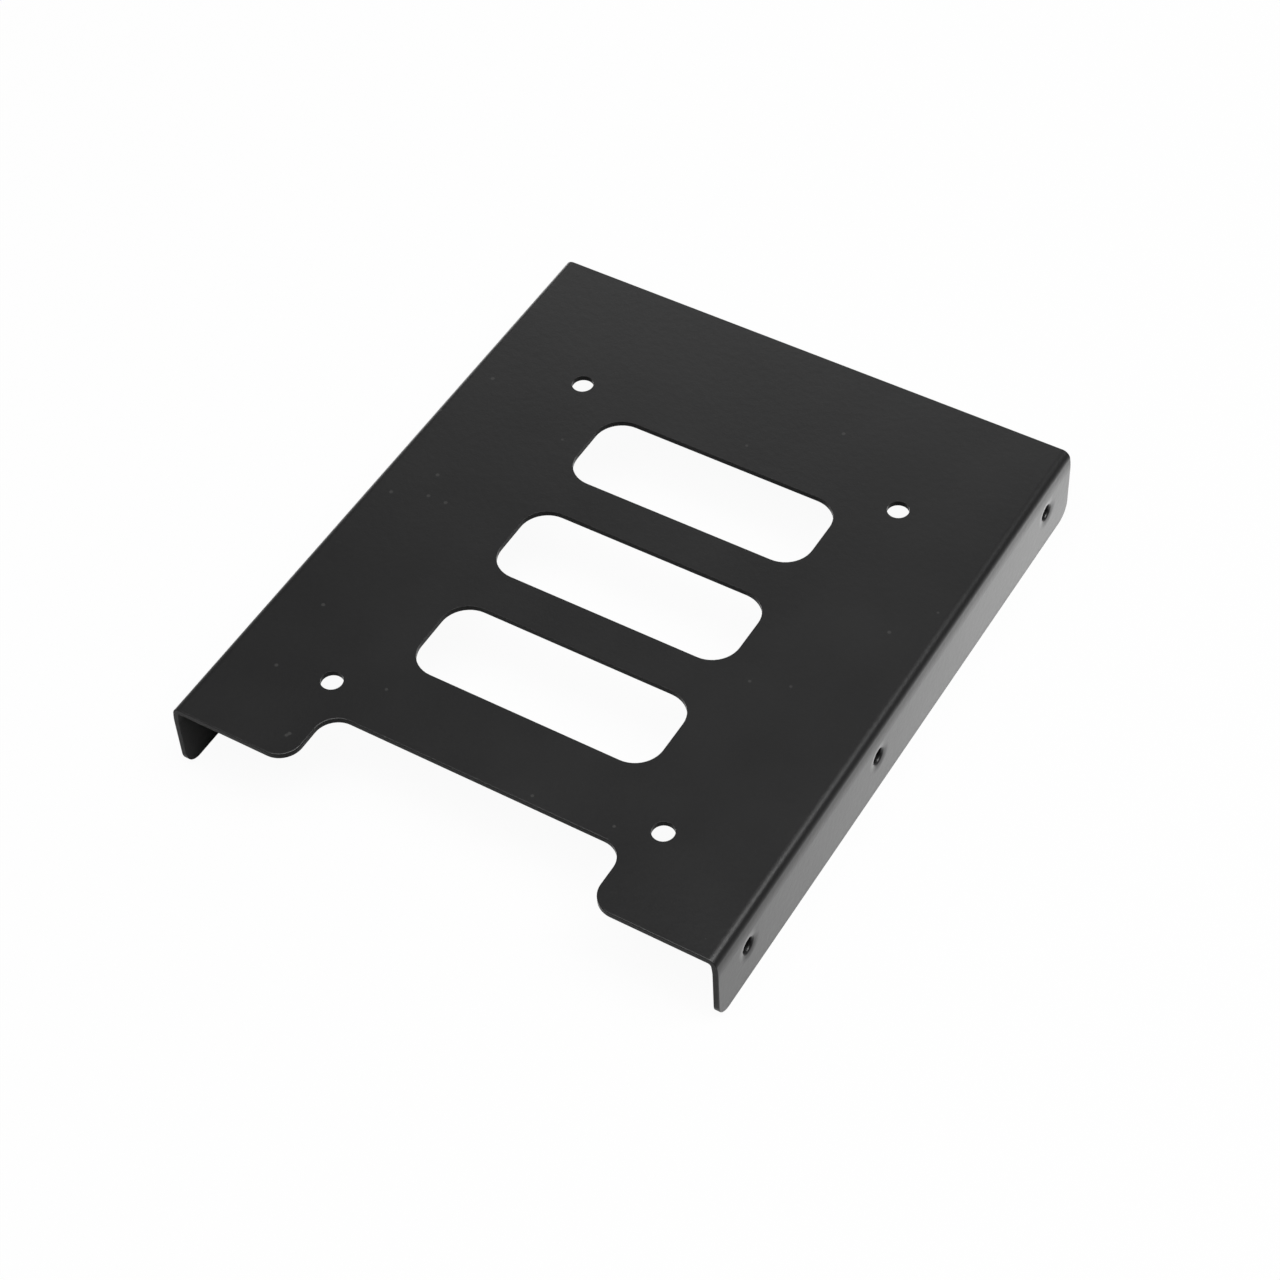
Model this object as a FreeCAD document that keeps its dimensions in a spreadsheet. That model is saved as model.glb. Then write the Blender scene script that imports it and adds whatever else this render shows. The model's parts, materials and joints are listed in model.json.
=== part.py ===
import FreeCAD, Part
import math
import os

import Sketcher

# A bracket that carries a small drive in the bay of a larger one: one steel sheet, folded, punched, tapped
# and painted.
#
# Millimetres. The bracket stands on the lower edges of its two flanges, with the origin under its centre
# and level with those edges: +X is its right side, -Y the end with the notch, and +Z is up, through the
# plate. Slots and screw holes in the plate are measured from the notched end, and the row of tapped holes in
# each flange is set from the bracket's middle.

NODE = "bracket"

# Each size of the bracket: its name, its value and what it measures
SIZES = [
    ("bracket_width", 100.7, "over the outer faces of the flanges"),
    ("bracket_length", 119.4, "from the notched end to the plain end"),
    ("bracket_height", 14.8, "from the lower edges to the top of the plate"),
    ("sheet_thickness", 1.0, "the sheet, paint included"),
    ("bend_radius", 0.6, "inside the tight part of the fold"),
    ("ease_radius", 13.0, "inside the slack part of the fold, which runs out into the flange"),
    ("ease_angle", 10.0, "degrees of the fold that the slack part takes"),
    ("flange_corner", 3.0, "rounding of the flanges' lower corners"),
    ("notch_width", 55.2, "between the two tabs"),
    ("notch_depth", 11.6, "from the tabs' ends to the back of the notch"),
    ("notch_corner", 4.0, "rounding at the back of the notch"),
    ("tab_corner", 4.0, "rounding of the tabs beside the notch"),
    ("slot_span", 45.5, "each slot, across the bracket"),
    ("slot_breadth", 16.0, "each slot, along the bracket"),
    ("slot_corner", 5.0, "rounding of the slots"),
    ("slot_start", 33.75, "from the notched end to the middle of the first slot"),
    ("slot_pitch", 24.0, "from one slot to the next"),
    ("slot_count", 3, "slots in the row"),
    ("drive_hole", 3.8, "clearance holes for the small drive's screws"),
    ("drive_hole_across", 61.72, "between those holes, across the bracket"),
    ("drive_hole_along", 76.6, "between those holes, along the bracket"),
    ("drive_hole_start", 17.1, "from the notched end to the first of them"),
    ("rail_hole", 2.87, "tapped holes for the bay's rail screws, as drawn before the thread is cut"),
    ("rail_hole_near", 41.6, "from the first tapped hole to the middle one"),
    ("rail_hole_far", 60.0, "from the middle tapped hole to the last one"),
    ("rail_row_shift", 0.25, "of the middle of that row, from the bracket's middle to the plain end"),
    ("rail_hole_rise", 8.0, "of the tapped holes over the lower edges"),
    ("collar_wall", 0.55, "of the collar that is drawn inwards round each tapped hole"),
    ("collar_height", 0.9, "of that collar over the flange's inner face"),
    ("dimple_diameter", 6.0, "of the shallow dimple that the drawing leaves round each hole"),
    ("dimple_radius", 5.5, "of the dimple's slope"),
    ("draw_radius", 0.45, "where the dimple rolls into the hole"),
    ("edge_radius", 0.15, "of the sheet's outline on its outer side"),
]

# Edges that meet at less than this many degrees run on smoothly and aren't rounded
SMOOTH_ANGLE = 20.0
# How far apart two places may lie and still be the same one
CLOSE = 0.001


def make_sheet(doc):
    """Writes the sizes into the document's sheet."""
    sheet = doc.addObject("Spreadsheet::Sheet", "Sizes")
    for row, (alias, value, meaning) in enumerate(SIZES, 1):
        sheet.set(f"A{row}", alias)
        sheet.set(f"B{row}", str(value))
        sheet.set(f"C{row}", meaning)
        sheet.setAlias(f"B{row}", alias)
    doc.recompute()
    return sheet


def value_of(obj, expression):
    """The number that an expression over the sheet comes to."""
    return float(obj.evalExpression(expression))


def origin_item(body, role):
    """One of the body's own origin planes or axes."""
    return next(item for item in body.Origin.OriginFeatures if item.Role == role)


def add_sketch(body, name, plane, along=None, off=None):
    """Adds a sketch on an origin plane, shifted by expressions over the sheet.

    ``along`` moves its zero along the bracket, and ``off`` lifts it off the plane.
    """
    sketch = body.newObject("Sketcher::SketchObject", name)
    sketch.AttachmentSupport = [(origin_item(body, plane), "")]
    sketch.MapMode = "FlatFace"
    if along:
        axis = "x" if plane == "YZ_Plane" else "y"
        sketch.setExpression(f".AttachmentOffset.Base.{axis}", along)
    if off:
        sketch.setExpression(".AttachmentOffset.Base.z", off)
    body.Document.recompute()
    return sketch


def add_line(sketch, start, end):
    """Adds a straight line between two points and returns its number."""
    line = Part.LineSegment(FreeCAD.Vector(*start, 0), FreeCAD.Vector(*end, 0))
    return sketch.addGeometry(line, False)


def add_arc(sketch, centre, radius, start, end):
    """Adds an arc, counter-clockwise between two angles in degrees, and returns its number."""
    circle = Part.Circle(FreeCAD.Vector(*centre, 0), FreeCAD.Vector(0, 0, 1), radius)
    return sketch.addGeometry(Part.ArcOfCircle(circle, math.radians(start), math.radians(end)), False)


def relate(sketch, kind, *relations):
    """Adds geometric constraints of one kind."""
    for relation in relations:
        sketch.addConstraint(Sketcher.Constraint(kind, *relation))


def dimension(sketch, kind, *where, size):
    """Adds a driving dimension and binds it to an expression over the sheet."""
    value = value_of(sketch, size)
    if kind == "Angle":
        value = math.radians(value)
    index = sketch.addConstraint(Sketcher.Constraint(kind, *where, value))
    sketch.setExpression(f"Constraints[{index}]", size)


def draw_half_section(sketch):
    """Draws the folded sheet's right half, seen along the bracket: plate, fold and flange in one outline.

    The fold is a tight arc that runs out in a slack one, as a pressed sheet's does. Inner and outer arcs
    share their centres, so the sheet keeps its thickness all the way round.
    """
    half = value_of(sketch, "Sizes.bracket_width / 2")
    top = value_of(sketch, "Sizes.bracket_height")
    sheet = value_of(sketch, "Sizes.sheet_thickness")
    tight = value_of(sketch, "Sizes.bend_radius")
    slack = value_of(sketch, "Sizes.ease_radius")
    turn = value_of(sketch, "Sizes.ease_angle")
    across = (slack - tight) * math.cos(math.radians(turn))
    up = (slack - tight) * math.sin(math.radians(turn))
    tight_centre = (half - sheet - slack + across, top - sheet - tight)
    slack_centre = (tight_centre[0] - across, tight_centre[1] - up)

    plate_top = add_line(sketch, (0, top), (tight_centre[0], top))
    tight_out = add_arc(sketch, tight_centre, tight + sheet, turn, 90)
    slack_out = add_arc(sketch, slack_centre, slack + sheet, 0, turn)
    flange_out = add_line(sketch, (half, slack_centre[1]), (half, 0))
    foot = add_line(sketch, (half, 0), (half - sheet, 0))
    flange_in = add_line(sketch, (half - sheet, 0), (half - sheet, slack_centre[1]))
    slack_in = add_arc(sketch, slack_centre, slack, 0, turn)
    tight_in = add_arc(sketch, tight_centre, tight, turn, 90)
    plate_under = add_line(sketch, (tight_centre[0], top - sheet), (0, top - sheet))
    middle = add_line(sketch, (0, top - sheet), (0, top))

    relate(sketch, "Tangent", (plate_top, 2, tight_out, 2), (tight_out, 1, slack_out, 2))
    relate(sketch, "Tangent", (slack_out, 1, flange_out, 1), (flange_in, 2, slack_in, 1))
    relate(sketch, "Tangent", (slack_in, 2, tight_in, 1), (tight_in, 2, plate_under, 1))
    relate(sketch, "Coincident", (flange_out, 2, foot, 1), (foot, 2, flange_in, 1))
    relate(sketch, "Coincident", (plate_under, 2, middle, 1), (middle, 2, plate_top, 1))
    relate(sketch, "Coincident", (tight_in, 3, tight_out, 3), (slack_in, 3, slack_out, 3))
    relate(sketch, "Horizontal", (plate_top,), (plate_under,), (foot,))
    relate(sketch, "Vertical", (flange_out,), (flange_in,), (middle,))
    relate(sketch, "PointOnObject", (middle, 1, -2), (foot, 1, -1))
    dimension(sketch, "DistanceX", -1, 1, foot, 1, size="Sizes.bracket_width / 2")
    dimension(sketch, "DistanceY", -1, 1, plate_top, 1, size="Sizes.bracket_height")
    dimension(sketch, "DistanceX", foot, 2, foot, 1, size="Sizes.sheet_thickness")
    dimension(sketch, "Radius", tight_in, size="Sizes.bend_radius")
    dimension(sketch, "Radius", slack_in, size="Sizes.ease_radius")
    dimension(sketch, "Angle", slack_in, size="Sizes.ease_angle")


def draw_rectangle(sketch, half_width, bottom, top):
    """Draws a rectangle about the sketch's upright axis, its sides at expressions over the sheet."""
    right = value_of(sketch, half_width)
    low = value_of(sketch, bottom)
    high = value_of(sketch, top)
    corners = [(-right, low), (right, low), (right, high), (-right, high)]
    lines = [add_line(sketch, corners[i], corners[(i + 1) % 4]) for i in range(4)]
    for i, line in enumerate(lines):
        relate(sketch, "Coincident", (line, 2, lines[(i + 1) % 4], 1))
        relate(sketch, "Vertical" if i % 2 else "Horizontal", (line,))
    dimension(sketch, "DistanceX", lines[0], 1, -1, 1, size=half_width)
    dimension(sketch, "DistanceX", -1, 1, lines[0], 2, size=half_width)
    dimension(sketch, "DistanceY", -1, 1, lines[0], 1, size=bottom)
    dimension(sketch, "DistanceY", -1, 1, lines[2], 1, size=top)


def draw_circles(sketch, places, diameter):
    """Draws equal circles, their centres at pairs of expressions: sideways and upwards in the sketch."""
    circles = []
    for across, up in places:
        centre = FreeCAD.Vector(value_of(sketch, across), value_of(sketch, up), 0)
        circle = Part.Circle(centre, FreeCAD.Vector(0, 0, 1), value_of(sketch, diameter) / 2)
        circles.append(sketch.addGeometry(circle, False))
        dimension(sketch, "DistanceX", -1, 1, circles[-1], 3, size=across)
        dimension(sketch, "DistanceY", -1, 1, circles[-1], 3, size=up)
    dimension(sketch, "Diameter", circles[0], size=diameter)
    relate(sketch, "Equal", *[(circles[0], circle) for circle in circles[1:]])


def draw_mouth(sketch):
    """Draws half of what a tapped hole takes out of the flange, over the hole's own axis.

    From the outside inwards it is the dimple's slope, the roll into the hole and the bore, each tangent to
    the next, and the slope is tangent to the flange's outer face.
    """
    outer = value_of(sketch, "Sizes.bracket_width / 2")
    air = value_of(sketch, "Sizes.bracket_width / 2 + Sizes.sheet_thickness")
    beyond = "Sizes.bracket_width / 2 - 2 * Sizes.sheet_thickness - Sizes.collar_height"
    end = value_of(sketch, beyond)
    rim = value_of(sketch, "Sizes.dimple_diameter / 2")
    slope = value_of(sketch, "Sizes.dimple_radius")
    roll = value_of(sketch, "Sizes.draw_radius")
    wall = value_of(sketch, "Sizes.rail_hole / 2")
    rise = rim - wall - roll
    turn = math.degrees(math.asin(rise / (slope - roll)))
    slope_centre = (outer - slope, rim)
    roll_centre = (slope_centre[0] + math.sqrt((slope - roll) ** 2 - rise**2), wall + roll)

    axis = add_line(sketch, (end, 0), (air, 0))
    outside = add_line(sketch, (air, 0), (air, rim))
    brim = add_line(sketch, (air, rim), (outer, rim))
    dimple = add_arc(sketch, slope_centre, slope, -turn, 0)
    lip = add_arc(sketch, roll_centre, roll, -90, -turn)
    bore = add_line(sketch, (roll_centre[0], wall), (end, wall))
    back = add_line(sketch, (end, wall), (end, 0))

    relate(sketch, "Coincident", (axis, 2, outside, 1), (outside, 2, brim, 1), (brim, 2, dimple, 2))
    relate(sketch, "Coincident", (bore, 2, back, 1), (back, 2, axis, 1))
    relate(sketch, "Tangent", (dimple, 1, lip, 2), (lip, 1, bore, 1))
    relate(sketch, "Horizontal", (brim,), (bore,), (dimple, 3, dimple, 2))
    relate(sketch, "Vertical", (outside,), (back,))
    relate(sketch, "PointOnObject", (axis, 1, -1), (axis, 2, -1))
    dimension(sketch, "DistanceX", -1, 1, brim, 2, size="Sizes.bracket_width / 2")
    dimension(sketch, "DistanceX", -1, 1, axis, 2, size="Sizes.bracket_width / 2 + Sizes.sheet_thickness")
    dimension(sketch, "DistanceX", -1, 1, axis, 1, size=beyond)
    dimension(sketch, "DistanceY", -1, 1, brim, 2, size="Sizes.dimple_diameter / 2")
    dimension(sketch, "DistanceY", -1, 1, bore, 2, size="Sizes.rail_hole / 2")
    dimension(sketch, "Radius", dimple, size="Sizes.dimple_radius")
    dimension(sketch, "Radius", lip, size="Sizes.draw_radius")


def add_feature(body, kind, name, **settings):
    """Adds a feature to the body, sets its properties, and builds it.

    A setting that is text starting with ``Sizes.`` is an expression over the sheet.
    """
    feature = body.newObject(f"PartDesign::{kind}", name)
    for prop, setting in settings.items():
        if isinstance(setting, str) and setting.startswith("Sizes."):
            feature.setExpression(prop, setting)
        else:
            setattr(feature, prop, setting)
    body.Tip = feature
    body.Document.recompute()
    return feature


def cut(body, kind, name, **settings):
    """Cuts into the body with a feature of the given kind, and sees that it met metal."""
    before = body.Tip.Shape.Volume
    feature = add_feature(body, kind, name, **settings)
    if feature.Shape.Volume > before - CLOSE:
        raise RuntimeError(f"{name} cuts nothing")
    return feature


def round_edges(body, name, wanted, size):
    """Rounds those edges of the body that pass a test."""
    last = body.Tip
    edges = [f"Edge{i}" for i, edge in enumerate(last.Shape.Edges, 1) if wanted(edge)]
    return add_feature(body, "Fillet", name, Base=(last, edges), Radius=size)


def near(value, place):
    """Whether a coordinate is at a place."""
    return abs(value - place) < CLOSE


def is_straight(edge, axis):
    """Whether an edge is a straight line along an axis."""
    if edge.Curve.TypeId != "Part::GeomLine":
        return False
    return near(abs(edge.tangentAt(edge.FirstParameter).dot(axis)), 1)


def is_corner_of_plate(edge, side, along):
    """Whether an edge runs straight through the plate, at a distance to either side and a place along."""
    centre = edge.BoundBox.Center
    upright = is_straight(edge, FreeCAD.Vector(0, 0, 1))
    return upright and near(abs(centre.x), side) and near(centre.y, along)


def add_fold(body):
    """The folded sheet's right half: half the plate and one flange."""
    sketch = add_sketch(body, "half_section", "XZ_Plane")
    draw_half_section(sketch)
    add_feature(body, "Pad", "fold", Profile=sketch, SideType="Symmetric", Length="Sizes.bracket_length")


def add_rail_holes(body):
    """The flange's tapped holes, each drawn inwards into a collar that gives its thread enough turns."""
    shift = "Sizes.rail_row_shift"
    row = {
        "first": f"{shift} - (Sizes.rail_hole_near + Sizes.rail_hole_far) / 2",
        "middle": f"{shift} + (Sizes.rail_hole_near - Sizes.rail_hole_far) / 2",
        "last": f"{shift} + (Sizes.rail_hole_near + Sizes.rail_hole_far) / 2",
    }

    collar_end = "Sizes.bracket_width / 2 - Sizes.sheet_thickness - Sizes.collar_height"
    collars = add_sketch(body, "collar_circles", "YZ_Plane", off=collar_end)
    places = [(along, "Sizes.rail_hole_rise") for along in row.values()]
    draw_circles(collars, places, "Sizes.rail_hole + 2 * Sizes.collar_wall")
    # The collars end half-way into the sheet, so they and the flange are one
    length = "Sizes.collar_height + Sizes.sheet_thickness / 2"
    add_feature(body, "Pad", "collars", Profile=collars, Length=length)

    for name, along in row.items():
        mouth = add_sketch(body, f"{name}_mouth", "XY_Plane", along, "Sizes.rail_hole_rise")
        draw_mouth(mouth)
        axis = (mouth, ["H_Axis"])
        cut(body, "Groove", f"{name}_rail_hole", Profile=mouth, ReferenceAxis=axis, Angle=360)


def round_flange_corners(body):
    """The flange's two lower corners."""
    across = FreeCAD.Vector(1, 0, 0)
    half = value_of(body, "Sizes.bracket_length / 2")

    def is_corner(edge):
        centre = edge.BoundBox.Center
        return is_straight(edge, across) and near(centre.z, 0) and near(abs(centre.y), half)

    round_edges(body, "flange_corners", is_corner, "Sizes.flange_corner")


def mirror_half(body):
    """The left half, as the right one's mirror image."""
    plane = (origin_item(body, "YZ_Plane"), [""])
    add_feature(body, "Mirrored", "whole_sheet", TransformMode="Whole shape", MirrorPlane=plane)


def punch_notch(body):
    """The notch between the two tabs, with its rounded corners."""
    front = "-Sizes.bracket_length / 2"
    sketch = add_sketch(body, "notch_outline", "XY_Plane", front, "Sizes.bracket_height")
    draw_rectangle(sketch, "Sizes.notch_width / 2", "-Sizes.notch_depth", "Sizes.notch_depth")
    cut(body, "Pocket", "notch", Profile=sketch, Length="Sizes.sheet_thickness")
    side = value_of(body, "Sizes.notch_width / 2")
    end = value_of(body, front)
    back = value_of(body, f"{front} + Sizes.notch_depth")
    for name, place, radius in (
        ("tab_corners", end, "Sizes.tab_corner"),
        ("notch_corners", back, "Sizes.notch_corner"),
    ):
        round_edges(body, name, lambda edge: is_corner_of_plate(edge, side, place), radius)


def punch_slots(body):
    """The row of slots, with their rounded corners."""
    front = "-Sizes.bracket_length / 2"
    sketch = add_sketch(body, "slot_outline", "XY_Plane", front, "Sizes.bracket_height")
    bottom = "Sizes.slot_start - Sizes.slot_breadth / 2"
    top = "Sizes.slot_start + Sizes.slot_breadth / 2"
    draw_rectangle(sketch, "Sizes.slot_span / 2", bottom, top)
    slot = cut(body, "Pocket", "first_slot", Profile=sketch, Length="Sizes.sheet_thickness")
    add_feature(
        body,
        "LinearPattern",
        "slot_row",
        Originals=[slot],
        Direction=(origin_item(body, "Y_Axis"), [""]),
        Mode="Spacing",
        Offset="Sizes.slot_pitch",
        Occurrences="Sizes.slot_count",
    )
    side = value_of(body, "Sizes.slot_span / 2")

    def is_slot_corner(edge):
        place = edge.BoundBox.Center.y
        return is_corner_of_plate(edge, side, place)

    round_edges(body, "slot_corners", is_slot_corner, "Sizes.slot_corner")


def punch_drive_holes(body):
    """The four clearance holes that the small drive is screwed through."""
    front = "-Sizes.bracket_length / 2"
    sketch = add_sketch(body, "drive_hole_circle", "XY_Plane", front, "Sizes.bracket_height")
    place = ("-Sizes.drive_hole_across / 2", "Sizes.drive_hole_start")
    draw_circles(sketch, [place], "Sizes.drive_hole")
    hole = cut(body, "Pocket", "first_drive_hole", Profile=sketch, Length="Sizes.sheet_thickness")
    add_feature(
        body,
        "LinearPattern",
        "drive_holes",
        Originals=[hole],
        Direction=(origin_item(body, "X_Axis"), [""]),
        Mode="Extent",
        Length="Sizes.drive_hole_across",
        Occurrences=2,
        Direction2=(origin_item(body, "Y_Axis"), [""]),
        Mode2="Extent",
        Length2="Sizes.drive_hole_along",
        Occurrences2=2,
    )


def round_outline(body):
    """The sheet's outline, which the press rolls over on the outer side.

    Its inner side and the rims of the slots and holes stay crisp.
    """
    shape = body.Tip.Shape

    def normal_at(face, point):
        return face.normalAt(*face.Surface.parameter(point))

    def is_outer_side(normal, point):
        outwards = math.copysign(normal.x, normal.x * point.x)
        return near(normal.y, 0) and min(outwards, normal.z) > -CLOSE

    def is_on_outline(edge, face):
        return any(edge.isSame(other) for other in face.OuterWire.Edges)

    def is_rolled(edge):
        faces = shape.ancestorsOfType(edge, Part.Face)
        if len(faces) < 2 or edge.isClosed():
            return False
        middle = edge.valueAt((edge.FirstParameter + edge.LastParameter) / 2)
        normals = [normal_at(face, middle) for face in faces]
        if math.degrees(normals[0].getAngle(normals[1])) < SMOOTH_ANGLE:
            return False
        sides = zip(faces, normals)
        return any(is_outer_side(normal, middle) and is_on_outline(edge, face) for face, normal in sides)

    round_edges(body, "rolled_outline", is_rolled, "Sizes.edge_radius")


def build_bracket(doc):
    """The whole bracket, from the folded sheet to its edges."""
    body = doc.addObject("PartDesign::Body", NODE)
    body.Label = NODE
    add_fold(body)
    add_rail_holes(body)
    round_flange_corners(body)
    mirror_half(body)
    punch_notch(body)
    punch_slots(body)
    punch_drive_holes(body)
    round_outline(body)
    return body


def check(doc, body):
    """Stops with a message if any object failed, or the bracket isn't one sound solid."""
    failed = [item.Name for item in doc.Objects if {"Invalid", "Error"} & set(item.State)]
    if failed:
        raise RuntimeError(f"failed: {failed}")
    sketches = [item for item in doc.Objects if item.isDerivedFrom("Sketcher::SketchObject")]
    loose = [sketch.Name for sketch in sketches if sketch.solve() or not sketch.FullyConstrained]
    if loose:
        raise RuntimeError(f"sketches that aren't fully constrained: {loose}")
    shape = body.Shape
    if shape.isNull() or not shape.isValid() or len(shape.Solids) != 1:
        raise RuntimeError(f"{body.Label} isn't one sound solid")


def main():
    doc = FreeCAD.newDocument("drive_bay_bracket")
    make_sheet(doc)
    body = build_bracket(doc)
    doc.recompute()
    check(doc, body)
    os.makedirs("parts", exist_ok=True)
    body.Shape.exportStep(f"parts/{body.Label}.step")
    print(f"{body.Label}: {body.Shape.Volume:.1f} cubic millimetres, {len(body.Shape.Faces)} faces")


main()
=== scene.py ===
"""Drive bay adapter bracket: a folded steel sheet under a satin black powder coat.

The sheet itself is the solid that the frame loads. This script coats it, cuts the thread ridges of the six
tapped holes, and sets up the table, the lamps and the camera.
"""

import json
import logging
import math
from dataclasses import dataclass, field
from enum import Enum

import bpy
from mathutils import Matrix, Vector


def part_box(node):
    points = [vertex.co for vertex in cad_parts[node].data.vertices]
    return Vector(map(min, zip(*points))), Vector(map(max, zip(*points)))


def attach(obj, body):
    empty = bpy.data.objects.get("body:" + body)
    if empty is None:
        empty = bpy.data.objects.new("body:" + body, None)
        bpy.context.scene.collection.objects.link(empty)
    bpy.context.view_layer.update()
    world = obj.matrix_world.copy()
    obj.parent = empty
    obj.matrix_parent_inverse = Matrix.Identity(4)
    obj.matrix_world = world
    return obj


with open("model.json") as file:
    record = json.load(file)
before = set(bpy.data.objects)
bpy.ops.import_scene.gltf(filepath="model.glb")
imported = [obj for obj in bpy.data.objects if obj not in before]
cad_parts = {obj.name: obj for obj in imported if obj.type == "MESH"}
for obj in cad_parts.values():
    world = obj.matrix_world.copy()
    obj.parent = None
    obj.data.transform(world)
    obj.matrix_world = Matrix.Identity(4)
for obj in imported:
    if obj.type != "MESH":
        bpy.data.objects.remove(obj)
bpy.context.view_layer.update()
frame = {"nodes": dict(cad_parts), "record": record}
mounts = {mount["name"]: mount for mount in frame["record"]["mounts"]}

MM = 0.001
log = logging.getLogger("bracket")


class Side(Enum):
    """The flange that a tapped hole is in, with its turn about the upright axis."""

    RIGHT = 0.0
    LEFT = math.pi


class Number:
    """A number that varies over a surface, for use in plain arithmetic."""

    def __init__(self, nodes: "Nodes", socket: bpy.types.NodeSocket) -> None:
        """Wraps a socket of the given nodes."""
        self.nodes, self.socket = nodes, socket

    def _math(self, operation: str, first: object, second: object) -> "Number":
        """Adds a Math node.

        Args:
            operation: The Math node's operation.
            first: A number or a plain value.
            second: A number or a plain value.

        Returns:
            The node's result.
        """
        return self.nodes.add("ShaderNodeMath", {"operation": operation}, {0: first, 1: second})

    def __add__(self, other: object) -> "Number":
        """Sum."""
        return self._math("ADD", self, other)

    def __radd__(self, other: object) -> "Number":
        """Sum, reflected."""
        return self._math("ADD", other, self)

    def __sub__(self, other: object) -> "Number":
        """Difference."""
        return self._math("SUBTRACT", self, other)

    def __rsub__(self, other: object) -> "Number":
        """Difference, reflected."""
        return self._math("SUBTRACT", other, self)

    def __mul__(self, other: object) -> "Number":
        """Product."""
        return self._math("MULTIPLY", self, other)

    def __rmul__(self, other: object) -> "Number":
        """Product, reflected."""
        return self._math("MULTIPLY", other, self)

    def __lt__(self, other: object) -> "Number":
        """One where it is less than the other, and zero elsewhere."""
        return self._math("LESS_THAN", self, other)

    def __gt__(self, other: object) -> "Number":
        """One where it is greater than the other, and zero elsewhere."""
        return self._math("GREATER_THAN", self, other)


class Nodes:
    """The nodes of one material or of the room's light."""

    def __init__(self, tree: bpy.types.NodeTree) -> None:
        """Empties the tree."""
        self.tree = tree
        tree.nodes.clear()

    def add(self, kind: str, settings: dict, inputs: dict, output: int | str = 0) -> Number:
        """Adds a node.

        Args:
            kind: The node's type.
            settings: Its properties, which are set first.
            inputs: Values or links of its sockets, by name or place.
            output: The socket that is handed back.

        Returns:
            The chosen output.
        """
        node = self.tree.nodes.new(kind)
        for name, value in settings.items():
            setattr(node, name, value)
        for key, value in inputs.items():
            if isinstance(value, Number):
                self.tree.links.new(value.socket, node.inputs[key])
            else:
                node.inputs[key].default_value = value
        return Number(self, node.outputs[output]) if len(node.outputs) else Number(self, None)

    def place(self) -> Number:
        """The piece's own coordinates."""
        return self.add("ShaderNodeTexCoord", {}, {}, "Object")

    def rays(self) -> list[Number]:
        """One for a ray from the camera, one for a mirrored ray and one for a ray through glass."""
        kinds = ("Camera", "Glossy", "Transmission")
        return [self.add("ShaderNodeLightPath", {}, {}, f"Is {kind} Ray") for kind in kinds]

    def noise(self, place: Number, size: float, detail: float = 2.0) -> Number:
        """Soft clouds.

        Args:
            place: The coordinates.
            size: The size of one cloud, in metres.
            detail: How many finer layers it has.

        Returns:
            A number about a half.
        """
        inputs = {"Vector": place, "Scale": 1.0 / size, "Detail": detail}
        return self.add("ShaderNodeTexNoise", {}, inputs)

    def cells(self, place: Number, spacing: float, output: str) -> Number:
        """Scattered points, each with the cell of space that is nearest to it.

        Args:
            place: The coordinates.
            spacing: How far apart the points are, in metres.
            output: "Distance" from the point, in spacings, or the cell's own "Color".

        Returns:
            The chosen output.
        """
        inputs = {"Vector": place, "Scale": 1.0 / spacing}
        return self.add("ShaderNodeTexVoronoi", {"feature": "F1"}, inputs, output)

    def agreement(self, first: Number, second: Number | tuple) -> Number:
        """The dot product of two vectors."""
        return self.add("ShaderNodeVectorMath", {"operation": "DOT_PRODUCT"}, {0: first, 1: second}, "Value")

    def part(self, vector: Number, axis: str) -> Number:
        """A vector's part along one axis."""
        return self.add("ShaderNodeSeparateXYZ", {}, {0: vector}, axis)

    def ramp(self, value: Number, reach: tuple, low: float = 0.0, high: float = 1.0) -> Number:
        """An even change from one number to another, level before it and beyond it.

        Args:
            value: The number that the change follows.
            reach: Where the change starts and where it ends.
            low: The result up to the start.
            high: The result from the end on.

        Returns:
            The result.
        """
        inputs = {"Value": value, "From Min": reach[0], "From Max": reach[1], "To Min": low, "To Max": high}
        return self.add("ShaderNodeMapRange", {}, inputs)

    def blend(self, share: Number, low: Number | tuple, high: Number | tuple) -> Number:
        """A colour between two others.

        Args:
            share: Zero for the first and one for the second.
            low: The first colour.
            high: The second colour.

        Returns:
            The colour.
        """
        first, second = ((*end, 1.0) if isinstance(end, tuple) else end for end in (low, high))
        return self.add("ShaderNodeMix", {"data_type": "RGBA"}, {0: share, 6: first, 7: second}, 2)

    def finish(self, surface: Number, kind: str = "ShaderNodeOutputMaterial") -> None:
        """Joins the shader to the output."""
        self.add(kind, {}, {"Surface": surface})


def new_material(name: str) -> tuple[bpy.types.Material, Nodes]:
    """Makes an empty material.

    Args:
        name: Its name.

    Returns:
        The material and its nodes.
    """
    material = bpy.data.materials.new(name)
    material.use_nodes = True
    return material, Nodes(material.node_tree)


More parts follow.
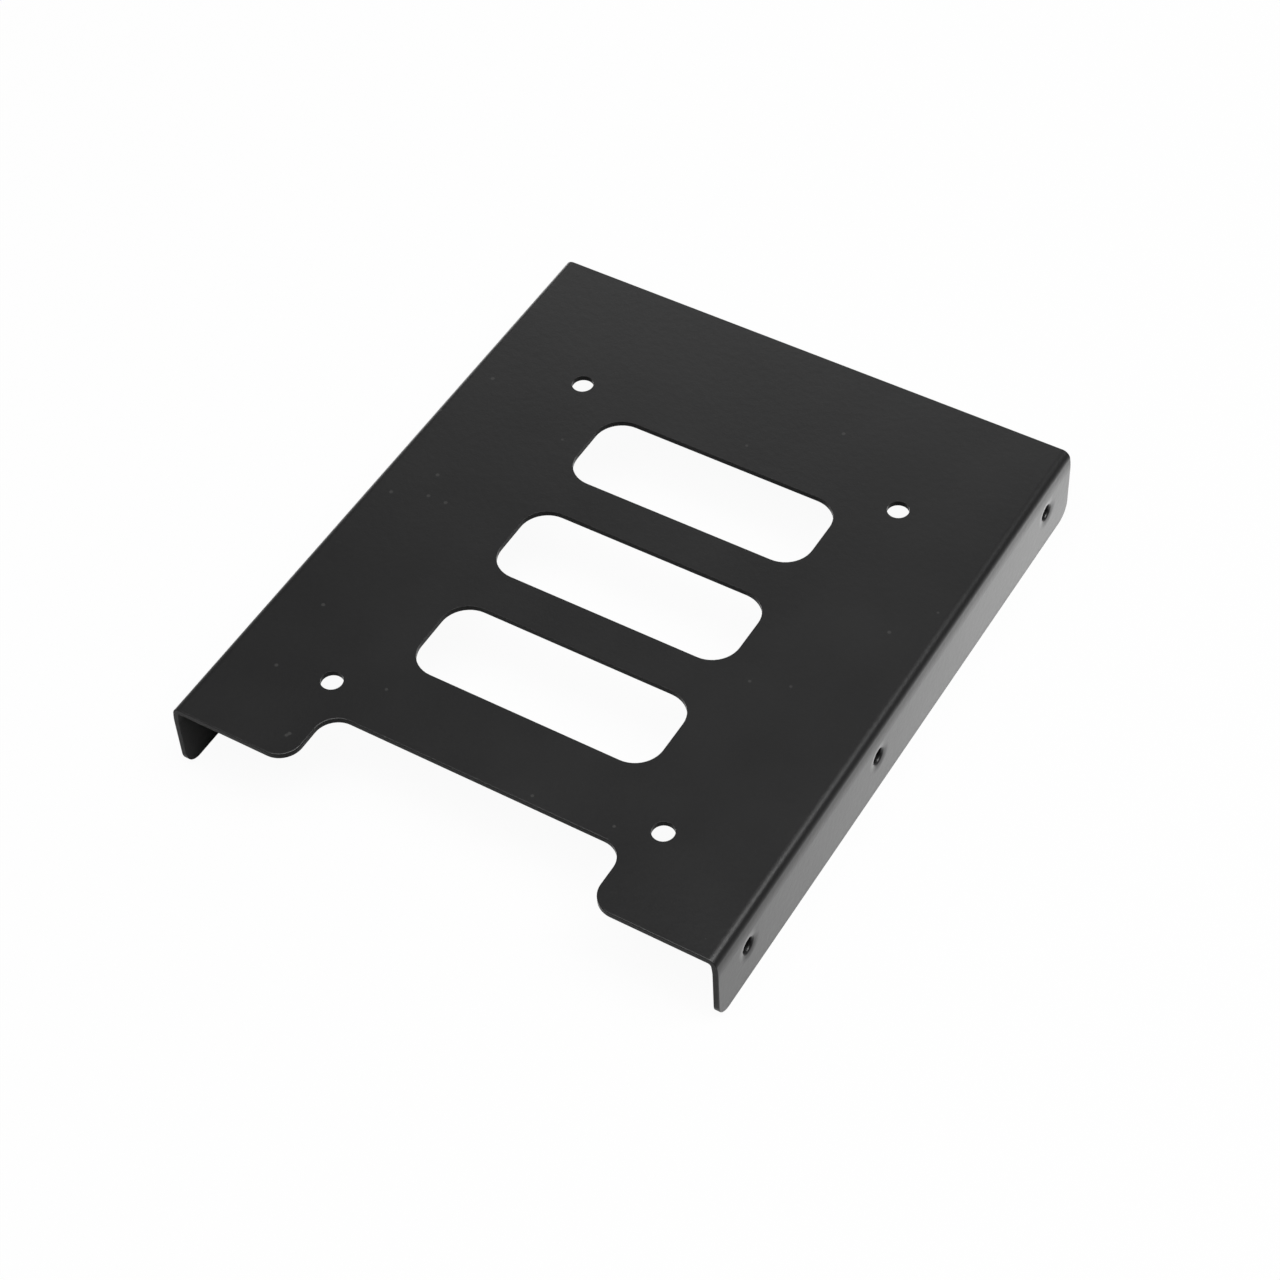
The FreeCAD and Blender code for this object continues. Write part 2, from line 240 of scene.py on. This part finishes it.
@dataclass(frozen=True)
class PowderCoat:
    """Satin black powder, baked on: a fine grain over a soft orange peel, with a few pale specks."""

    name: str = "satin_black_powder"
    colour: tuple = (0.0065, 0.0065, 0.0067)
    pale: tuple = (0.0118, 0.0118, 0.0120)
    cloud_share: float = 0.6
    gloss_ior: float = 1.5
    roughness: float = 0.36
    roughness_spread: float = 0.10
    # The clear skin of the resin, and the pale bloom that a matting powder shows at a low angle
    skin_weight: float = 0.6
    skin_roughness: float = 0.32
    bloom: float = 0.86
    bloom_roughness: float = 0.32
    # The grain, the orange peel and the clouds, each by the size of one
    grain: float = 0.33 * MM
    grain_detail: float = 3.0
    grain_height: float = 0.016 * MM
    peel: float = 1.2 * MM
    peel_share: float = 2.6
    cloud: float = 17.0 * MM
    # Specks of dust under the coat
    speck: tuple = (0.040, 0.040, 0.039)
    speck_spacing: float = 4.6 * MM
    speck_radius: float = 0.34 * MM
    speck_share: float = 0.40
    # Edges: the coat rounds them, and handling rubs the top of its grain
    edge_round: float = 0.12 * MM
    edge_samples: int = 6
    edge_from: float = 0.97
    rub: float = 0.15
    rub_grain: float = 0.42
    rubbed: tuple = (0.085, 0.085, 0.083)

    def worn(self, nodes: Nodes, round_edge: Number, grain: Number) -> Number:
        """Finds the rubbed edges.

        Args:
            nodes: The nodes it is added to.
            round_edge: The surface's direction with its edges rounded.
            grain: The coat's grain.

        Returns:
            How much of the coat is rubbed off.
        """
        flat = nodes.add("ShaderNodeNewGeometry", {}, {}, "Normal")
        edge = nodes.agreement(round_edge, flat) < self.edge_from
        return edge * self.rub * (grain > self.rub_grain)

    def specks(self, nodes: Nodes, place: Number) -> Number:
        """Scatters the specks.

        Args:
            nodes: The nodes it is added to.
            place: The coordinates.

        Returns:
            One on a speck and zero beside it.
        """
        spot = nodes.cells(place, self.speck_spacing, "Distance")
        pick = nodes.cells(place, self.speck_spacing, "Color")
        chance = nodes.add("ShaderNodeSeparateColor", {}, {0: pick})
        return (spot < self.speck_radius / self.speck_spacing) * (chance < self.speck_share)

    def build(self) -> bpy.types.Material:
        """Makes the material.

        Returns:
            The material.
        """
        material, nodes = new_material(self.name)
        place = nodes.place()
        grain = nodes.noise(place, self.grain, self.grain_detail)
        peel = nodes.noise(place, self.peel)
        cloud = nodes.noise(place, self.cloud)
        round_edge = nodes.add("ShaderNodeBevel", {"samples": self.edge_samples}, {"Radius": self.edge_round})
        mottle = cloud * self.cloud_share + grain * (1.0 - self.cloud_share)
        tone = nodes.blend(mottle, self.colour, self.pale)
        tone = nodes.blend(self.specks(nodes, place), tone, self.speck)
        tone = nodes.blend(self.worn(nodes, round_edge, grain), tone, self.rubbed)
        uneven = (cloud - 0.5) * self.roughness_spread + (grain - 0.5) * self.roughness_spread
        relief = grain + peel * self.peel_share
        bump = {"Strength": 1.0, "Distance": self.grain_height, "Height": relief, "Normal": round_edge}
        coat = {
            "Base Color": tone,
            "Roughness": self.roughness + uneven,
            "IOR": self.gloss_ior,
            "Normal": nodes.add("ShaderNodeBump", {}, bump),
            "Coat Weight": self.skin_weight,
            "Coat Roughness": self.skin_roughness,
            "Sheen Weight": self.bloom,
            "Sheen Roughness": self.bloom_roughness,
        }
        nodes.finish(nodes.add("ShaderNodeBsdfPrincipled", {}, coat))
        return material


@dataclass(frozen=True)
class TappedSteel:
    """The thread's flanks: steel with a thin, broken skin of the powder."""

    name: str = "tapped_steel_under_powder"
    powder: tuple = (0.012, 0.012, 0.0123)
    steel: tuple = (0.06, 0.059, 0.057)
    roughness: float = 0.5
    roughness_spread: float = 0.2
    patch: float = 0.25 * MM
    bare_from: float = 0.66
    scratch_height: float = 0.004 * MM

    def build(self) -> bpy.types.Material:
        """Makes the material.

        Returns:
            The material.
        """
        material, nodes = new_material(self.name)
        patch = nodes.noise(nodes.place(), self.patch)
        bare = patch > self.bare_from
        bump = {"Strength": 1.0, "Distance": self.scratch_height, "Height": patch}
        steel = {
            "Base Color": nodes.blend(bare, self.powder, self.steel),
            "Metallic": bare,
            "Roughness": self.roughness + (patch - 0.5) * self.roughness_spread,
            "Normal": nodes.add("ShaderNodeBump", {}, bump),
        }
        nodes.finish(nodes.add("ShaderNodeBsdfPrincipled", {}, steel))
        return material


@dataclass(frozen=True)
class WhiteTable:
    """The plain white table, lit from behind on the right, on which the camera sees a faint shadow and the
    bracket's gloss sees a painted shadow and a painted pool of light.
    """

    name: str = "white_table"
    colour: tuple = (0.90, 0.90, 0.90)
    deeper: float = 0.99
    cloud: float = 40.0 * MM
    # How much of what the camera and the gloss see is glowing white, in place of the lit paper; for the gloss
    # this white carries the painted shadow and the painted pool of light
    glow: float = 0.95
    gloss_share: float = 0.95
    # The painted shadow of the bracket, as its gloss sees the table: a soft box under it and a little to the
    # front left
    painted_shadow_middle: tuple = (-6.5 * MM, -9.5 * MM, 0.0)
    painted_shadow_half: tuple = (56.0 * MM, 64.5 * MM)
    painted_shadow_soft: tuple = (3.0 * MM, 16.0 * MM)
    # The painted pool of light round the bracket, brighter towards the back right and dimmed beyond its edge
    # on the right
    painted_light_from: float = math.radians(60.0)
    painted_light_reach: tuple = (-70.0 * MM, 75.0 * MM)
    painted_pool_dim: float = 0.05
    painted_pool_edge: tuple = (50.0 * MM, 88.0 * MM)
    beyond_painted_pool: float = 0.14

    def build(self) -> bpy.types.Material:
        """Makes the material.

        Returns:
            The material.
        """
        material, nodes = new_material(self.name)
        grain = nodes.noise(nodes.place(), self.cloud)
        paper = nodes.blend(grain, self.colour, tuple(self.deeper * part for part in self.colour))
        matt = nodes.add("ShaderNodeBsdfDiffuse", {}, {"Color": paper})
        camera, gloss, glass = nodes.rays()
        mirrored = gloss + glass
        # Mirrored rays see the table's glow with a painted shadow of the bracket and a painted pool of light
        # in it
        white = camera + mirrored * self.outside_painted_shadow(nodes) * self.painted_pool(nodes)
        painted_shade_and_pool = nodes.blend(white, (0, 0, 0), (1, 1, 1))
        glow = nodes.add("ShaderNodeEmission", {}, {"Color": painted_shade_and_pool, "Strength": 1.0})
        seen = camera * self.glow + mirrored * self.gloss_share
        nodes.finish(nodes.add("ShaderNodeMixShader", {}, {0: seen, 1: matt, 2: glow}))
        return material

    def painted_pool(self, nodes: Nodes) -> Number:
        """Paints a pool of light on the table for the gloss: brighter towards the back right, and dimmed
        beyond the pool's edge.

        Args:
            nodes: The nodes it is added to.

        Returns:
            The painted brightness, at most one.
        """
        towards = (math.cos(self.painted_light_from), math.sin(self.painted_light_from), 0.0)
        painted_lit = nodes.ramp(nodes.agreement(nodes.place(), towards), self.painted_light_reach, low=self.painted_pool_dim)
        across = nodes.part(nodes.place(), "X")
        return painted_lit * nodes.ramp(across, self.painted_pool_edge, low=1.0, high=self.beyond_painted_pool)

    def outside_painted_shadow(self, nodes: Nodes) -> Number:
        """Paints the bracket's shadow on the table for the gloss, under it and a little to the front left of
        it.

        Args:
            nodes: The nodes it is added to.

        Returns:
            One on the open table and zero in the shade.
        """
        sides = {0: nodes.place(), 1: self.painted_shadow_middle}
        out = nodes.add("ShaderNodeVectorMath", {"operation": "SUBTRACT"}, sides)
        beyond = []
        for axis, half, soft in zip("XY", self.painted_shadow_half, self.painted_shadow_soft):
            reach = nodes.add("ShaderNodeMath", {"operation": "ABSOLUTE"}, {0: nodes.part(out, axis)})
            beyond.append(nodes.ramp(reach, (half - soft / 2, half + soft / 2)))
        return nodes.add("ShaderNodeMath", {"operation": "MAXIMUM"}, {0: beyond[0], 1: beyond[1]})


def deselect() -> None:
    """Leaves edit mode and deselects everything."""
    if bpy.context.object and bpy.context.object.mode != "OBJECT":
        bpy.ops.object.mode_set(mode="OBJECT")
    bpy.ops.object.select_all(action="DESELECT")


@dataclass
class CoatedSheet:
    """The folded sheet: plate and both flanges, coated all over."""

    node: str = "bracket"
    coat: PowderCoat = field(default_factory=PowderCoat)

    def dress(self) -> bpy.types.Object:
        """Coats the sheet.

        Returns:
            The sheet.
        """
        sheet = frame["nodes"][self.node]
        material = self.coat.build()
        for slot in sheet.material_slots:
            slot.material = material
        return sheet


@dataclass
class TappedHole:
    """The thread ridge in each drawn hole of the flanges, as a 6-32 tap cuts it right-handed from outside."""

    pitch: float = 0.794 * MM
    flank: float = math.radians(30.0)
    crest_radius: float = 1.335 * MM
    crest_flat: float = 0.18 * MM
    # How far the ridge's root lies in the bore's wall
    bed: float = 0.03 * MM
    # Where the thread starts and ends, from the flange's outer face inwards
    thread_start: float = 0.59 * MM
    thread_end: float = 1.88 * MM
    steps: int = 48
    # How near to a cut a corner counts as on it, and how near to each other two corners become one
    cut_within: float = 0.0001 * MM
    merge_within: float = 0.0005 * MM
    smooth_below: float = math.radians(28.0)
    finish: TappedSteel = field(default_factory=TappedSteel)

    def __post_init__(self) -> None:
        """Takes the bore's height and radius and the thread's ends from the frame."""
        screws = mounts["right_rail_ends"]
        self.rise = screws["pos_m"][2]
        self.bore_radius = screws["dims"]["hole_r_mm"] * MM
        outer_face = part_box("bracket")[1][0]
        self.outer_end = outer_face - self.thread_start
        self.inner_end = outer_face - self.thread_end

    def row(self, side: Side) -> list[float]:
        """Works out where a flange's holes are from the two screw patterns that share them.

        Args:
            side: The flange.

        Returns:
            The holes' places along the bracket, from the notched end to the plain one.
        """
        places = set()
        for pattern in ("ends", "near"):
            screws = mounts[f"{side.name.lower()}_rail_{pattern}"]
            middle, half = screws["pos_m"][1], screws["dims"]["spacing_x_mm"] * MM / 2
            places |= {round(middle - half, 6), round(middle + half, 6)}
        return sorted(places)

    def profile(self) -> bpy.types.Object:
        """Draws the ridge's cross-section as an outline above the hole's axis.

        Returns:
            The outline, with its origin on the axis.
        """
        depth = self.bore_radius + self.bed - self.crest_radius
        width = self.crest_flat + 2.0 * depth * math.tan(self.flank)
        middle = self.crest_radius + depth / 2
        start = (self.inner_end - self.pitch, 0, self.rise)
        deselect()
        bpy.ops.mesh.primitive_plane_add(size=1.0, rotation=(math.pi / 2, 0, 0), location=start)
        ridge = bpy.context.object
        ridge.scale = (width, depth, 1.0)
        bpy.ops.object.transform_apply(location=False, rotation=True, scale=True)
        bpy.ops.object.mode_set(mode="EDIT")
        bpy.ops.mesh.select_all(action="SELECT")
        bpy.ops.transform.translate(value=(0, 0, middle))
        bpy.ops.mesh.delete(type="ONLY_FACE")
        bpy.ops.mesh.select_all(action="DESELECT")
        bpy.ops.object.mode_set(mode="OBJECT")
        for corner in ridge.data.vertices:
            corner.select = corner.co.z < middle
        bpy.ops.object.mode_set(mode="EDIT")
        bpy.ops.transform.resize(value=(self.crest_flat / width, 1, 1))
        bpy.ops.object.mode_set(mode="OBJECT")
        return ridge

    def wind(self, ridge: bpy.types.Object) -> None:
        """Winds the outline along the axis and cuts it flat at both ends of the thread.

        Args:
            ridge: The outline, which becomes the ridge.
        """
        screw = ridge.modifiers.new("wind", "SCREW")
        screw.axis = "X"
        screw.screw_offset = self.pitch
        screw.iterations = math.ceil((self.outer_end - self.inner_end) / self.pitch) + 2
        screw.steps = screw.render_steps = self.steps
        screw.use_smooth_shade = False
        bpy.ops.object.modifier_apply(modifier="wind")
        for end, outward in ((self.inner_end, -1.0), (self.outer_end, 1.0)):
            bpy.ops.object.mode_set(mode="EDIT")
            bpy.ops.mesh.select_all(action="SELECT")
            cut = {"plane_co": (end, 0.0, self.rise), "plane_no": (outward, 0, 0)}
            bpy.ops.mesh.bisect(**cut, threshold=self.cut_within, use_fill=True, clear_outer=True)
            bpy.ops.object.mode_set(mode="OBJECT")
        bpy.ops.object.mode_set(mode="EDIT")
        bpy.ops.mesh.select_all(action="SELECT")
        bpy.ops.mesh.remove_doubles(threshold=self.merge_within)
        bpy.ops.mesh.normals_make_consistent(inside=False)
        bpy.ops.object.mode_set(mode="OBJECT")
        bpy.ops.object.shade_smooth_by_angle(angle=self.smooth_below)

    def build(self) -> list[bpy.types.Object]:
        """Makes the ridge once and copies it into the six holes.

        Returns:
            The six ridges.
        """
        first = self.profile()
        self.wind(first)
        first.data.materials.append(self.finish.build())
        bpy.ops.object.transform_apply(location=True, rotation=True, scale=True)
        ridges = []
        for side in Side:
            for number, along in enumerate(self.row(side), start=1):
                ridge = first.copy()
                ridge.data = first.data.copy()
                ridge.name = ridge.data.name = f"thread_{side.name.lower()}_{number}"
                bpy.context.collection.objects.link(ridge)
                ridge.data.transform(Matrix.Translation((0, along, 0)) @ Matrix.Rotation(side.value, 4, "Z"))
                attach(ridge, "root")
                ridges.append(ridge)
        bpy.data.objects.remove(first)
        return ridges


@dataclass
class Studio:
    """The white table, the soft lamps and the camera."""

    table_size: float = 6.0
    table_depth: float = 0.02
    # The room's even light, and the share of its white that shows in the bracket's gloss
    room_light: float = 0.08
    room_gloss: float = 0.02
    # The camera, which looks past the origin by a little
    lens: float = 86.21
    sensor: float = 36.0
    azimuth: float = 33.598
    elevation: float = 49.437
    roll: float = -3.463
    distance: float = 513.764 * MM
    aim_across: float = 0.392 * MM
    aim_up: float = -0.856 * MM
    clip: tuple = (0.01, 50.0)
    # Each panel: its place in metres, the side of its square, and its level at the bracket
    top_panel: tuple = ((-0.04, -0.33, 1.28), 0.90, 0.50)
    right_panel: tuple = ((0.50, 0.125, 1.06), 0.72, 0.56)
    back_panel: tuple = ((-0.17, 0.40, 0.17), 0.34, 0.088)
    finish: WhiteTable = field(default_factory=WhiteTable)

    def lay_table(self) -> bpy.types.Object:
        """Lays the table under the bracket.

        Returns:
            The table.
        """
        deselect()
        bpy.ops.mesh.primitive_plane_add(size=self.table_size, location=(0, 0, 0))
        table = bpy.context.object
        table.name = "table"
        bpy.ops.object.mode_set(mode="EDIT")
        bpy.ops.mesh.select_all(action="SELECT")
        bpy.ops.mesh.extrude_region_move(TRANSFORM_OT_translate={"value": (0, 0, -self.table_depth)})
        bpy.ops.mesh.select_all(action="SELECT")
        bpy.ops.mesh.normals_make_consistent(inside=False)
        bpy.ops.object.mode_set(mode="OBJECT")
        table.data.materials.append(self.finish.build())
        return table

    def light_room(self) -> None:
        """Fills the room with even light and shows it white, but in the bracket's gloss only faintly."""
        world = bpy.data.worlds.new("white_room")
        bpy.context.scene.world = world
        world.use_nodes = True
        nodes = Nodes(world.node_tree)
        even = nodes.add("ShaderNodeBackground", {}, {"Strength": self.room_light})
        white = nodes.add("ShaderNodeBackground", {}, {"Color": (1, 1, 1, 1), "Strength": 1.0})
        camera, gloss, glass = nodes.rays()
        seen = camera + glass + gloss * self.room_gloss
        mixed = nodes.add("ShaderNodeMixShader", {}, {0: seen, 1: even, 2: white})
        nodes.finish(mixed, "ShaderNodeOutputWorld")

    def hang_lamp(self, name: str, place: tuple, size: float, level: float) -> bpy.types.Object:
        """Hangs a soft lamp that faces the bracket.

        Args:
            name: The lamp's name.
            place: Where it hangs, in metres.
            size: The side of its square panel.
            level: The share of a plain white light that it gives at the bracket.

        Returns:
            The lamp.
        """
        away = Vector(place)
        turn = away.to_track_quat("Z", "Y").to_euler()
        deselect()
        bpy.ops.object.light_add(type="AREA", location=place, rotation=turn)
        lamp = bpy.context.object
        lamp.name = lamp.data.name = name
        lamp.data.size = size
        # A panel of (pi times its distance) squared watts lights white paper at the bracket just to white
        lamp.data.energy = level * (math.pi * away.length) ** 2
        return lamp

    def hang_lamps(self) -> list[bpy.types.Object]:
        """Hangs the studio's lamps."""
        panels = ("top_panel", "right_panel", "back_panel")
        return [self.hang_lamp(name, *getattr(self, name)) for name in panels]

    def place_camera(self) -> bpy.types.Object:
        """Sets the camera where the photographer's stood.

        Returns:
            The camera.
        """
        turn, tilt, roll = (math.radians(angle) for angle in (self.azimuth, self.elevation, self.roll))
        back = Vector((math.sin(turn) * math.cos(tilt), -math.cos(turn) * math.cos(tilt), math.sin(tilt)))
        level = Vector((math.cos(turn), math.sin(turn), 0.0))
        upright = back.cross(level)
        right = level * math.cos(roll) + upright * math.sin(roll)
        up = upright * math.cos(roll) - level * math.sin(roll)
        data = bpy.data.cameras.new("camera")
        camera = bpy.data.objects.new("camera", data)
        bpy.context.collection.objects.link(camera)
        camera.matrix_world = Matrix((right, up, back)).transposed().to_4x4()
        camera.location = right * self.aim_across + up * self.aim_up + back * self.distance
        data.lens, data.sensor_width = self.lens, self.sensor
        data.clip_start, data.clip_end = self.clip
        bpy.context.scene.camera = camera
        return camera


def main() -> None:
    """Builds the pieces in order and reports each."""
    logging.basicConfig(level=logging.INFO, format="%(message)s")
    sheet = CoatedSheet().dress()
    log.info("sheet: %s, %d faces", sheet.name, len(sheet.data.polygons))
    for ridge in TappedHole().build():
        log.info("thread: %s, %d faces", ridge.name, len(ridge.data.polygons))
    studio = Studio()
    log.info("table: %s", studio.lay_table().name)
    studio.light_room()
    for lamp in studio.hang_lamps():
        log.info("lamp: %s, %.1f W", lamp.name, lamp.data.energy)
    log.info("camera: %s", studio.place_camera().name)
    bpy.context.scene.view_settings.view_transform = "Standard"


if __name__ == "__main__":
    main()
